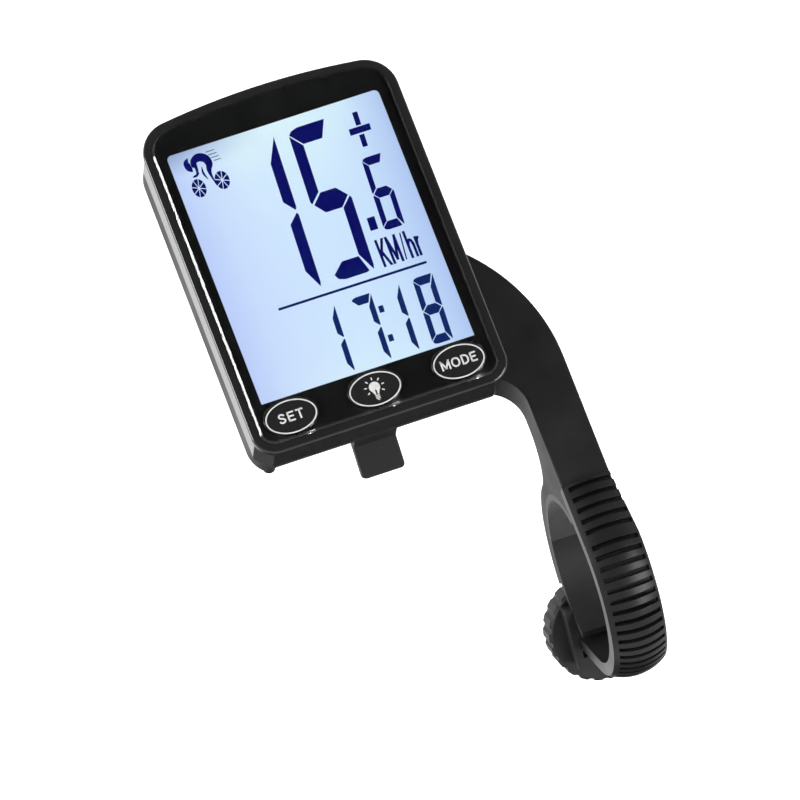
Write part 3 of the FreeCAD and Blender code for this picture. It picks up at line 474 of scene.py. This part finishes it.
def segments(width, height, bar, beam, gap):
    """A seven-segment digit's outlines: its left corners are cut off, its right ones are points."""
    half = height / 2
    right = width - bar
    top = 0.58 * beam
    return {
        "a": [(0.1, 0.31 * beam), (0.3 * bar, 0.12 * beam), (0.9 * bar, 0), (width - 0.2 * bar, 0),
              (width - 0.85 * bar, beam), (bar + gap / 3, beam)],
        "b": [(width - 0.04 * bar + gap / 2, 0.08 * beam), (width, 0.3 * beam), (width, half - 3 * gap),
              (width - 0.12 * bar, half - gap), (right, half - gap - 0.62 * beam), (right, 1.5 * beam)],
        "c": [(width - 0.12 * bar, half + gap), (width, half + 3 * gap), (width, height - 0.28 * beam),
              (width - 0.1 * bar, height - 0.05 * beam), (right, height - beam - 1.4 * gap),
              (right, half + gap + 0.56 * beam)],
        "d": [(bar + gap / 3, height - beam), (right - gap / 2, height - beam),
              (width - 0.5 * bar, height - 0.06 * beam), (width - 0.75 * bar, height), (0.9 * bar, height),
              (0.3 * bar, height - 0.12 * beam), (0.1, height - 0.4 * beam)],
        "e": [(0, half + 3 * gap), (0.12 * bar, half + gap), (bar, half + gap + 0.56 * beam),
              (bar, height - beam - gap), (0, height - 0.4 * beam - gap)],
        "f": [(0, 0.36 * beam), (bar, beam + gap), (bar, half - gap - 0.58 * beam),
              (0.12 * bar, half - gap), (0, half - 3 * gap)],
        "g": [(0.3 * bar - gap / 3, half), (bar + gap, half - top), (right - gap, half - top),
              (width - 0.25 * bar, half), (right - gap / 2, half + top), (bar + gap / 2, half + top)],
    }


def number(text, rights, top, width, height, bar, beam, gap):
    """Leaning digits on one line; rights are their right edges at the top."""
    shapes = segments(width, height, bar, beam, gap)
    return [[(right - width + x - LEAN * y, top + y) for x, y in shapes[name]]
            for figure, right in zip(text, rights) for name in SEGMENTS[figure]]


def block(x, y, width, height):
    """A small leaning block; x and y are its top left corner."""
    return [(x, y), (x + width, y), (x + width - LEAN * height, y + height), (x - LEAN * height, y + height)]


def figures():
    """Speed, time, the points between their digits, a plus sign and the rule."""
    outlines = number("15", (20.3, 30.75), **SPEED)
    outlines += number("6", (38.15,), **TENTHS)
    outlines += number("1718", (19.4, 26.6, 32.1, 38.7), **CLOCK)
    decimal_point = [block(31.0, 23.5, 1.5, 2.6)]
    colon = [block(26.95, 40.5, 0.95, 1.35), block(26.65, 46.4, 0.95, 1.35)]
    plus_sign = [block(35.7, 2.9, 1.0, 2.7), block(35.4, 7.5, 1.0, 2.5), block(33.95, 5.85, 4.1, 1.3)]
    rule = [RULE_LEFT, RULE_RIGHT, (RULE_RIGHT[0], RULE_RIGHT[1] + RULE_LINE),
            (RULE_LEFT[0], RULE_LEFT[1] + RULE_LINE)]
    outlines += decimal_point + colon + plus_sign + [rule]
    return [on_window(outline) for outline in outlines]


# ---------------------------------------------------------------- curved strokes and letters
CURVE_STEPS = 6


def between(a, b, c, d, t):
    """Where a smooth curve through four values is, a share t of the way from b to c."""
    return 0.5 * (2 * b + (c - a) * t + (2 * a - 5 * b + 4 * c - d) * t * t
                  + (3 * b - a - 3 * c + d) * t ** 3)


def smooth(points):
    """A curve through a few points."""
    padded = [points[0]] + points + [points[-1]]
    curve = []
    for near in zip(padded, padded[1:], padded[2:], padded[3:]):
        for step in range(CURVE_STEPS):
            curve.append(tuple(between(*values, step / CURVE_STEPS) for values in zip(*near)))
    curve.append(points[-1])
    return curve


def limb(points):
    """A tapering limb: each point is a place and the limb's width there."""
    line = smooth(points)
    sides = ([], [])
    for index, (x, y, width) in enumerate(line):
        before = line[max(index - 1, 0)]
        after = line[min(index + 1, len(line) - 1)]
        length = math.dist(before[:2], after[:2])
        across = ((before[1] - after[1]) / length, (after[0] - before[0]) / length)
        for side, sign in zip(sides, (1, -1)):
            side.append((x + sign * across[0] * width / 2, y + sign * across[1] * width / 2))
    return sides[0] + sides[1][::-1]


# Letters on a grid one high: each one's width, its straight strokes and its curved ones.
LETTERS = {
    "D": (0.66, [[(0, 0), (0, 1)]],
          [[(0, 1), (0.34, 0.98), (0.58, 0.82), (0.66, 0.5), (0.58, 0.18), (0.34, 0.02), (0, 0)]]),
    "E": (0.54, [[(0, 0), (0, 1)], [(0, 1), (0.54, 1)], [(0, 0.52), (0.48, 0.52)], [(0, 0), (0.54, 0)]], []),
    "K": (0.66, [[(0, 0), (0, 1)], [(0.62, 1), (0.06, 0.4)], [(0.2, 0.54), (0.66, 0)]], []),
    "M": (0.86, [[(0, 0), (0, 1)], [(0, 1), (0.43, 0.12)], [(0.86, 1), (0.43, 0.12)], [(0.86, 0), (0.86, 1)]],
          []),
    "O": (0.82, [], [[(0.41, 1), (0.12, 0.87), (0, 0.5), (0.12, 0.13), (0.41, 0)],
                     [(0.41, 1), (0.7, 0.87), (0.82, 0.5), (0.7, 0.13), (0.41, 0)]]),
    "S": (0.6, [], [[(0.58, 0.78), (0.46, 0.96), (0.2, 0.98), (0.05, 0.8), (0.14, 0.6), (0.42, 0.47),
                     (0.58, 0.28), (0.46, 0.05), (0.18, 0.02), (0, 0.2)]]),
    "T": (0.6, [[(0, 1), (0.6, 1)], [(0.3, 0), (0.3, 1)]], []),
    "h": (0.52, [[(0, 0), (0, 1)], [(0.52, 0), (0.52, 0.48)]],
          [[(0, 0.44), (0.16, 0.64), (0.38, 0.64), (0.52, 0.44)]]),
    "r": (0.36, [[(0, 0), (0, 0.68)]], [[(0, 0.4), (0.14, 0.62), (0.36, 0.68)]]),
    "/": (0.3, [[(0, 0), (0.3, 1)]], []),
}
LETTER_SPACE = 0.36


def stroke(start, stop, line):
    """A straight stroke with ends cut level or upright, half a line beyond its two points."""
    (x0, y0), (x1, y1) = start, stop
    half = line / 2
    if abs(y1 - y0) > abs(x1 - x0):
        side = half * math.dist(start, stop) / abs(y1 - y0)
        reach = math.copysign(half, y1 - y0)
        run = reach * (x1 - x0) / (y1 - y0)
        return [(x0 - run - side, y0 - reach), (x0 - run + side, y0 - reach),
                (x1 + run + side, y1 + reach), (x1 + run - side, y1 + reach)]
    return [(x0 - half, y0 - half), (x1 + half, y1 - half), (x1 + half, y1 + half), (x0 - half, y0 + half)]


def lettering(words, left, bottom, width, height, line):
    """Outlines of plain letters that fill a box, in millimetres, with up as positive."""
    span = sum(LETTERS[letter][0] for letter in words) + LETTER_SPACE * (len(words) - 1)
    wide = (width - line) / span
    tall = height - line
    x = left + line / 2
    y = bottom + line / 2
    outlines = []
    for letter in words:
        letter_width, straight, curved = LETTERS[letter]
        thick = line / 2 if letter == "/" else line
        for ends in straight:
            start, stop = [(x + across * wide, y + up * tall) for across, up in ends]
            outlines.append(stroke(start, stop, thick))
        for curve in curved:
            outlines.append(limb([(x + across * wide, y + up * tall, thick) for across, up in curve]))
        x += (letter_width + LETTER_SPACE) * wide
    return outlines


def speed_unit():
    """The unit beside the speed, turned from up to down as the picture is measured."""
    outlines = lettering("KM/hr", left=30.75, bottom=-33.65, width=8.3, height=5.6, line=0.5)
    return [on_window([(x, -y) for x, y in outline]) for outline in outlines]


# ---------------------------------------------------------------- the cyclist on the display
WHEEL_WEDGES = 8
WEDGE_STEPS = 5
# Shares of a wedge's turn left open each side for the spokes, and of the wheel left to the hub.
SPOKE_SHARE = 0.06
HUB_SHARE = 0.14
WHEEL_TURN = 0.3
# Lines behind the rider that show speed: each next one is lower, starts further right and is shorter.
SPEED_LINES = 4
SPEED_LINE_TOP = 1.35
SPEED_LINE_PITCH = 0.68
SPEED_LINE_THICK = 0.14
SPEED_LINE_LEFT = 7.3
SPEED_LINE_SHIFT = 0.3
SPEED_LINE_LENGTH = 1.7
SPEED_LINE_LOSS = 0.1


def wheel(x, y, across, down):
    """An oval wheel made of wedges, so that its spokes show as gaps."""
    wedges = []
    for index in range(WHEEL_WEDGES):
        start = 2 * math.pi * (index + SPOKE_SHARE) / WHEEL_WEDGES + WHEEL_TURN
        stop = 2 * math.pi * (index + 1 - SPOKE_SHARE) / WHEEL_WEDGES + WHEEL_TURN
        middle = (start + stop) / 2
        rim = [start + (stop - start) * step / WEDGE_STEPS for step in range(WEDGE_STEPS + 1)]
        hub = (x + HUB_SHARE * across * math.cos(middle), y + HUB_SHARE * down * math.sin(middle))
        wedges.append([hub] + [(x + across * math.cos(angle), y + down * math.sin(angle)) for angle in rim])
    return wedges


def speed_lines():
    """Thin level lines, one under the other."""
    lines = []
    for row in range(SPEED_LINES):
        y = SPEED_LINE_TOP + SPEED_LINE_PITCH * row
        start = SPEED_LINE_LEFT + SPEED_LINE_SHIFT * row
        end = start + SPEED_LINE_LENGTH - SPEED_LINE_LOSS * row
        lines.append([(start, y), (end, y), (end, y + SPEED_LINE_THICK), (start, y + SPEED_LINE_THICK)])
    return lines


def rider():
    """A racing cyclist in profile: helmet, bent back, arm, leg, two wheels and speed lines."""
    helmet = [(3.7, 1.5, 0.15), (3.15, 2.3, 1.0), (3.35, 3.5, 1.15), (3.75, 4.3, 0.2)]
    back_and_leg = [(4.2, 3.6, 0.5), (4.5, 2.5, 1.2), (5.6, 1.95, 1.6), (6.75, 2.5, 1.6), (7.15, 3.7, 1.35),
                    (6.75, 4.9, 0.9), (6.75, 6.2, 0.45), (7.1, 8.3, 0.15)]
    arm = [(4.55, 2.9, 0.8), (4.6, 4.0, 0.55), (4.45, 5.0, 0.45)]
    handlebar = [(4.75, 4.85, 0.25), (4.1, 5.25, 0.5), (3.35, 5.35, 0.12)]
    other_leg = [(5.65, 3.9, 0.12), (5.5, 5.2, 0.4), (5.95, 6.6, 0.12)]
    outlines = wheel(3.75, 7.75, 1.3, 1.85) + wheel(8.35, 7.6, 1.35, 1.85)
    outlines += [limb(points) for points in (helmet, back_and_leg, arm, handlebar, other_leg)]
    outlines += speed_lines()
    return [on_window(outline) for outline in outlines]


INK_GAP = 0.01 * MM
INK_THICK = 0.04 * MM
PICTURE = {"display_figures": figures(), "display_rider": rider(), "display_unit": speed_unit()}
for name, outlines in PICTURE.items():
    add_piece(name, raise_outlines(outlines, PANEL_TOP + INK_GAP, INK_THICK), "head", INK)


# ---------------------------------------------------------------- printing on the keys
PRINT_THICK = 0.015 * MM
RING_WIDTH = 9.85 * MM
RING_HEIGHT = 6.5 * MM
RING_LINE = 0.24 * MM
RING_STEPS = 96
# How far below the window the middle of the printing lies.
KEY_DROP = 4.22 * MM
WORD_BOTTOM = -0.92
WORD_HEIGHT = 1.95
WORD_LINE = 0.32
BULB_RADIUS = 1.05
BULB_UP = 0.35
BULB_STEPS = 20
BULB_RAYS = 7
RAY_DEGREES = 41.3
BASE_BANDS = 3
BASE_BAND_PITCH = 0.3


def ring(x, y, base):
    """A thin oval line, raised by one coat of ink."""
    made = bmesh.new()
    loops = []
    for inset, height in ((0, 0), (0, PRINT_THICK), (RING_LINE, PRINT_THICK), (RING_LINE, 0)):
        loop = []
        for step in range(RING_STEPS):
            angle = 2 * math.pi * step / RING_STEPS
            spot = Vector((x + (RING_WIDTH / 2 - inset) * math.cos(angle),
                           y + (RING_HEIGHT / 2 - inset) * math.sin(angle), base + height))
            loop.append(made.verts.new(TILTED @ spot))
        loops.append(loop)
    for first, second in zip(loops, loops[1:] + loops[:1]):
        for step in range(RING_STEPS):
            after = (step + 1) % RING_STEPS
            made.faces.new((first[step], first[after], second[after], second[step]))
    bmesh.ops.recalc_face_normals(made, faces=made.faces)
    return finished(made, "ring")


def circle_points(x, y, radius, start, stop, steps):
    """Points round part of a circle, from start to stop in turns."""
    angles = [2 * math.pi * (start + (stop - start) * step / steps) for step in range(steps + 1)]
    return [(x + radius * math.cos(angle), y + radius * math.sin(angle)) for angle in angles]


def bulb_outlines():
    """A lamp bulb with rays round it, in millimetres from the middle of the printing."""
    bulb = circle_points(0, BULB_UP, BULB_RADIUS, -0.13, 0.63, BULB_STEPS)
    bulb += [(-0.42, -1.1), (-0.12, -1.1), (-0.16, -0.2), (0.16, -0.2), (0.12, -1.1), (0.42, -1.1)]
    outlines = [bulb]
    for row in range(BASE_BANDS):
        top = -1.22 - BASE_BAND_PITCH * row
        outlines.append([(-0.42, top), (0.42, top), (0.4, top - 0.2), (-0.4, top - 0.2)])
    outlines.append([(-0.22, -2.12), (0.22, -2.12), (0.1, -2.3), (-0.1, -2.3)])
    ray = [(1.42, -0.1), (1.95, -0.12), (1.95, 0.12), (1.42, 0.1)]
    for index in range(BULB_RAYS):
        angle = math.radians(RAY_DEGREES * (index - BULB_RAYS // 2) + 90)
        out = (math.cos(angle), math.sin(angle))
        outlines.append([(out[0] * reach - out[1] * side, BULB_UP + out[1] * reach + out[0] * side)
                         for reach, side in ray])
    return outlines


def key_print(node, body, mark):
    """The oval line round a key and the mark inside it."""
    low, high = level_box(node)
    x = (low.x + high.x) / 2
    y = WINDOW_FOOT - KEY_DROP
    placed = [[(x + across * MM, y + up * MM) for across, up in outline] for outline in mark]
    mesh = joined([ring(x, y, high.z), raise_outlines(placed, high.z, PRINT_THICK)])
    add_piece("print_" + node, mesh, body, PRINT_WHITE)


key_print("key_set", "key_a", lettering("SET", -2.5, WORD_BOTTOM, 4.95, WORD_HEIGHT, WORD_LINE))
key_print("key_light", "key_b", bulb_outlines())
key_print("key_mode", "key_c", lettering("MODE", -3.5, WORD_BOTTOM, 6.95, WORD_HEIGHT, WORD_LINE))


# ---------------------------------------------------------------- floor, light and camera
# The viewing direction, from the object to the camera, the picture's roll, and the place aimed at.
CAMERA_BACK = Vector((-0.1698, -0.6068, 0.7765)).normalized()
CAMERA_ROLL = math.radians(5.92)
CAMERA_AIM = Vector((-25.84, 36.23, 22.66)) * MM
CAMERA_DISTANCE = 2.0
CAMERA_LENS = 483.3
CAMERA_SENSOR = 36.0
CAMERA_REACH = 30.0

FLOOR_HALF = 6.0
FLOOR_DROP = 0.22
FLOOR_GLOW = 0.55

# The world's greys from straight down, at 0, to straight overhead, at 1; the horizon is at 0.5.
WORLD_DOWN = grey(0.03)
WORLD_UP = grey(0.02)
WORLD_BETWEEN = ((0.015, 0.02), (0.035, 0.15), (0.08, 0.7), (0.12, 0.8), (0.2, 0.65),
                 (0.65, 0.55), (0.76, 0.35), (0.86, 0.08), (0.94, 0.02))
WORLD_STRENGTH = 1.7


def plain_floor():
    """A wide pale floor well below the mounted computer, which glows a little and isn't reflected."""
    height = CAD_BOUNDS[0].z - FLOOR_DROP
    corners = [(x * FLOOR_HALF, y * FLOOR_HALF, height) for x, y in ((-1, -1), (1, -1), (1, 1), (-1, 1))]
    mesh = bpy.data.meshes.new("floor")
    mesh.from_pydata(corners, [], [(0, 1, 2, 3)])
    shader = Shader("pale_floor")
    shader.set(Roughness=0.9, Emission_Color=WHITE, Emission_Strength=FLOOR_GLOW)
    tone = shader.spread(shader.noise(0.4, detail=3), 0, 1)
    pale = shader.mix(tone, linear(246, 246, 246), linear(250, 250, 250))
    mesh.materials.append(shader.feed(Base_Color=pale))
    floor = bpy.data.objects.new("floor", mesh)
    bpy.context.scene.collection.objects.link(floor)
    floor.visible_glossy = False


def area_light(name, direction, distance, size, power, fills=True, shines=True):
    """A soft box pointed at the computer, which may only fill, or only shine as a reflection."""
    lamp = bpy.data.lights.new(name, "AREA")
    lamp.shape = "RECTANGLE"
    lamp.size, lamp.size_y = size
    lamp.energy = power
    box = bpy.data.objects.new(name, lamp)
    bpy.context.scene.collection.objects.link(box)
    away = Vector(direction).normalized()
    box.location = CAMERA_AIM + away * distance
    box.rotation_mode = "QUATERNION"
    box.rotation_quaternion = away.to_track_quat("Z", "Y")
    box.visible_diffuse = fills
    box.visible_glossy = shines
    box.visible_transmission = shines
    box.visible_camera = False


def soft_world():
    """Pale light from all round that fades to dark high overhead and straight down."""
    world = bpy.data.worlds.new("studio")
    world.use_nodes = True
    tree = world.node_tree
    place = tree.nodes.new("ShaderNodeTexCoord")
    split = tree.nodes.new("ShaderNodeSeparateXYZ")
    tree.links.new(place.outputs["Generated"], split.inputs["Vector"])
    height = tree.nodes.new("ShaderNodeMapRange")
    height.inputs["From Min"].default_value = -1
    tree.links.new(split.outputs["Z"], height.inputs["Value"])
    shade = tree.nodes.new("ShaderNodeValToRGB")
    stops = shade.color_ramp.elements
    stops[0].color = WORLD_DOWN
    stops[1].color = WORLD_UP
    for place_up, level in WORLD_BETWEEN:
        stops.new(place_up).color = grey(level)
    tree.links.new(height.outputs["Result"], shade.inputs["Fac"])
    background = tree.nodes["Background"]
    background.inputs["Strength"].default_value = WORLD_STRENGTH
    tree.links.new(shade.outputs["Color"], background.inputs["Color"])
    bpy.context.scene.world = world
    bpy.context.scene.view_settings.view_transform = "Standard"


def aim_camera():
    """A long lens, far off, looking down at the computer from the rider's side."""
    camera = bpy.data.cameras.new("camera")
    camera.lens = CAMERA_LENS
    camera.sensor_width = CAMERA_SENSOR
    camera.clip_end = CAMERA_REACH
    holder = bpy.data.objects.new("camera", camera)
    bpy.context.scene.collection.objects.link(holder)
    level_right = Vector((0, 0, 1)).cross(CAMERA_BACK).normalized()
    level_up = CAMERA_BACK.cross(level_right)
    right = level_right * math.cos(CAMERA_ROLL) - level_up * math.sin(CAMERA_ROLL)
    up = level_right * math.sin(CAMERA_ROLL) + level_up * math.cos(CAMERA_ROLL)
    turned = Matrix((right, up, CAMERA_BACK)).transposed().to_4x4()
    holder.matrix_world = Matrix.Translation(CAMERA_AIM + CAMERA_BACK * CAMERA_DISTANCE) @ turned
    bpy.context.scene.camera = holder


plain_floor()
soft_world()
area_light("key_left", (-1.0, -0.1, 0.8), 0.8, (0.5, 0.8), power=9, shines=False)
area_light("fill_right", (0.9, -0.7, 0.6), 0.9, (0.35, 0.6), power=6)
area_light("top_back", (0.2, 0.9, 0.9), 0.9, (1.0, 0.5), power=5, shines=False)
area_light("card_left", (-0.93, 0.22, 0.32), 0.9, (0.35, 0.25), power=7, fills=False)
area_light("card_front", (0.6, -0.9, 0.3), 1.0, (0.4, 0.4), power=5, fills=False)
aim_camera()
